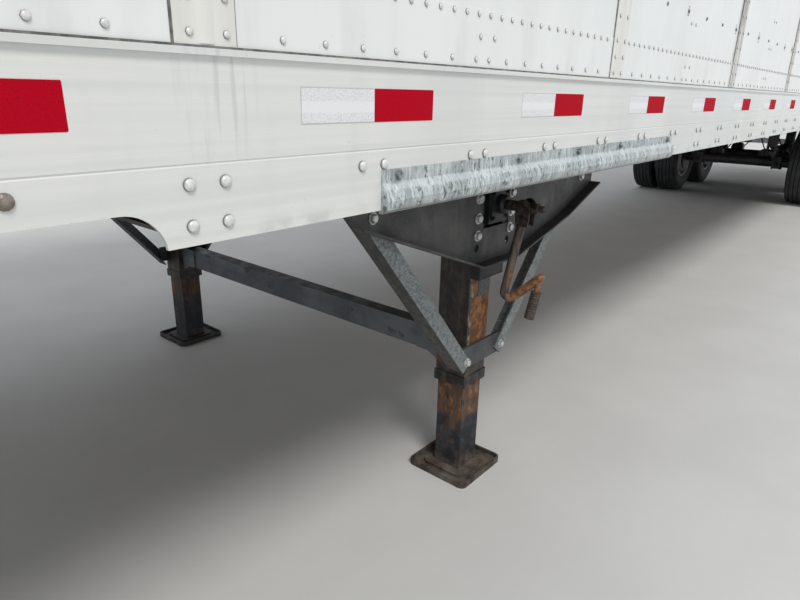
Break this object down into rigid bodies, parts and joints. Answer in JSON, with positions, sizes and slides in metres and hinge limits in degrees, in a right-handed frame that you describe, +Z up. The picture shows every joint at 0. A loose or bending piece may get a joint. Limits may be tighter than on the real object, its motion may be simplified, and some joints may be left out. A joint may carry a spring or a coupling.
{
  "type": "semi trailer",
  "caption": "Dry van semi trailer with riveted panel walls, side rails, landing legs with crank, sliding tandem on dual wheels and swinging rear doors.",
  "frame": {"origin": "on the ground, at the middle of the overall length and width", "axes": "+X to the front of the trailer, +Y to its left side, +Z up"},
  "size_m": [16.154, 2.62, 4.115],
  "materials": {
    "aluminium_sheet": "mill finish sheet",
    "black_paint": "dusty black paint",
    "black_rubber": "flap and hose rubber",
    "galvanised": "spangled zinc",
    "grey_paint": "worn dark grey paint",
    "grip": "ribbed grip",
    "machined_steel": "greased steel",
    "red_lens": "lamp lens",
    "rusty_steel": "black paint gone to rust",
    "tyre_rubber": "road tyre",
    "white_panel": "satin white paint on aluminium",
    "wood_floor": "oak boards"
  },
  "bodies": {
    "trailer": {"air_hoses": "black_rubber", "air_tank": "black_paint", "axle_front": "black_paint", "axle_rear": "black_paint", "bogie_frame": "black_paint", "brace_straps": "black_paint", "brake_chambers": "black_paint", "crank_grip": "grip", "crank_handle": "rusty_steel", "cross_channel": "grey_paint", "cross_shaft": "rusty_steel", "crossmembers": "black_paint", "flap_hangers": "galvanised", "floor": "wood_floor", "front_couplings": "aluminium_sheet", "front_wall": "white_panel", "hinge_butts": "galvanised", "inner_legs": "rusty_steel", "kingpin": "machined_steel", "lamps": "red_lens", "leaf_springs": "black_paint", "leg_braces": "galvanised", "leg_brackets": "grey_paint", "mud_flaps": "black_rubber", "outer_legs": "rusty_steel", "rail_guards": "galvanised", "rear_bumper": "galvanised", "rear_frame": "white_panel", "roof": "aluminium_sheet", "roof_bows": "galvanised", "sand_shoes": "rusty_steel", "side_rails": "white_panel", "side_wall_left": "white_panel", "side_wall_right": "white_panel", "slider_pins": "machined_steel", "slider_rails": "galvanised", "top_rails": "aluminium_sheet", "upper_coupler": "black_paint"},
    "left_door": {"door_left": "white_panel", "lock_rods_left": "galvanised"},
    "right_door": {"door_right": "white_panel", "lock_rods_right": "galvanised"},
    "front_left_wheels": {"tyres_front_left": "tyre_rubber", "wheel_front_left": "white_panel"},
    "front_right_wheels": {"tyres_front_right": "tyre_rubber", "wheel_front_right": "white_panel"},
    "rear_left_wheels": {"tyres_rear_left": "tyre_rubber", "wheel_rear_left": "white_panel"},
    "rear_right_wheels": {"tyres_rear_right": "tyre_rubber", "wheel_rear_right": "white_panel"}
  },
  "joints": [
    {"name": "front_left_wheel_turn", "type": "hinge", "parent": "trailer", "child": "front_left_wheels", "pos_m": [-3.58, 0.99, 0.508], "axis": [0, 1, 0], "continuous": true},
    {"name": "front_right_wheel_turn", "type": "hinge", "parent": "trailer", "child": "front_right_wheels", "pos_m": [-3.58, -0.99, 0.508], "axis": [0, 1, 0], "continuous": true},
    {"name": "rear_left_wheel_turn", "type": "hinge", "parent": "trailer", "child": "rear_left_wheels", "pos_m": [-4.825, 0.99, 0.508], "axis": [0, 1, 0], "continuous": true},
    {"name": "rear_right_wheel_turn", "type": "hinge", "parent": "trailer", "child": "rear_right_wheels", "pos_m": [-4.825, -0.99, 0.508], "axis": [0, 1, 0], "continuous": true},
    {"name": "left_door_swing", "type": "hinge", "parent": "trailer", "child": "left_door", "pos_m": [-8.066, 1.29, 2.6], "axis": [0, 0, -1], "range_deg": [0, 262]},
    {"name": "right_door_swing", "type": "hinge", "parent": "trailer", "child": "right_door", "pos_m": [-8.066, -1.29, 2.6], "axis": [0, 0, 1], "range_deg": [0, 262]}
  ]
}
